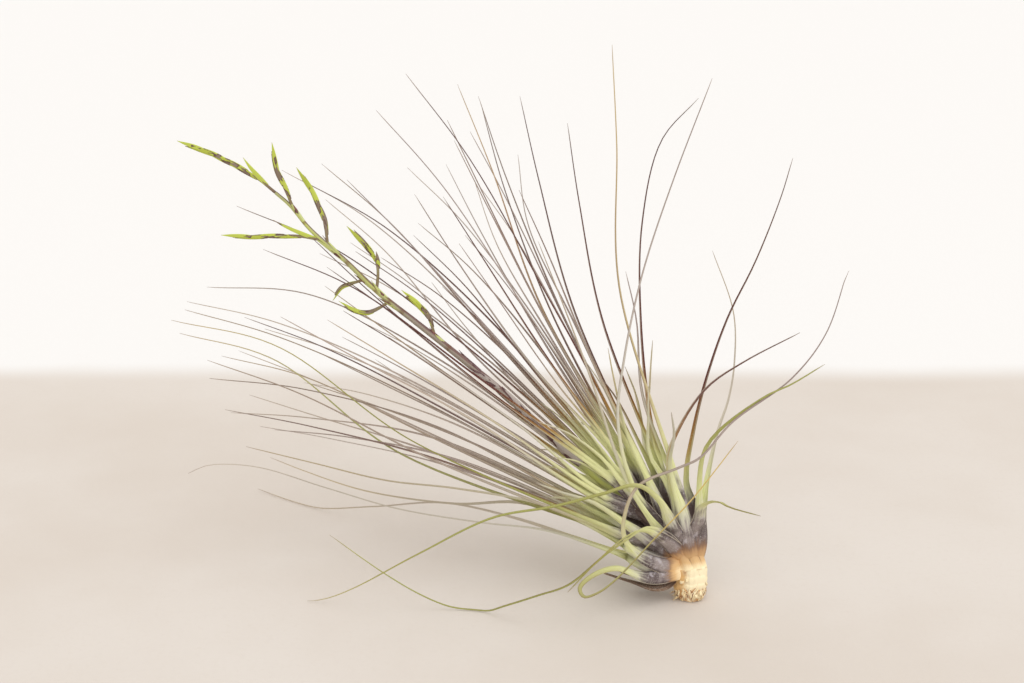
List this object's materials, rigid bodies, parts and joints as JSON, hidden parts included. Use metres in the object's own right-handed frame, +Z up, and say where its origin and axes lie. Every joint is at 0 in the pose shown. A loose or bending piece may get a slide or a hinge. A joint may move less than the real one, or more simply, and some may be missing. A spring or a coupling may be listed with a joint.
{
  "type": "air plant",
  "caption": "Rush-leaved air plant with spoon-shaped sheaths, long needle leaves in a leaning fan, a few curled leaves and a branched flower spike; lies on its cut stem and low leaves.",
  "frame": {"origin": "middle of the small flat spot under the stem's cut end, on which the plant rests", "axes": "+Z up from the surface, +X to the right of the leaf fan's broad side, +Y towards the rear of the fan, which leans back 17 degrees"},
  "size_m": [0.3853, 0.2827, 0.2955],
  "materials": {
    "stem": "dry woody stub, tan to cream, ringed, with a fibrous cut end",
    "leaf": "matte grey-green to maroon blade with silvery mauve-grey scaly sheath, fibrous plant tissue",
    "scape": "satin green-grey to purple-brown stalk with lapping bracts",
    "bract": "satin yellow-green bract with purple-brown margins and tip"
  },
  "bodies": {
    "root": {"stem": "stem", "leaf_rosette": "leaf", "flower_scape": "scape", "terminal_spike": "bract", "side_spike_1": "bract", "side_spike_2": "bract", "side_spike_3": "bract", "side_spike_4": "bract", "side_spike_5": "bract", "side_spike_6": "bract", "side_spike_7": "bract"}
  },
  "joints": []
}
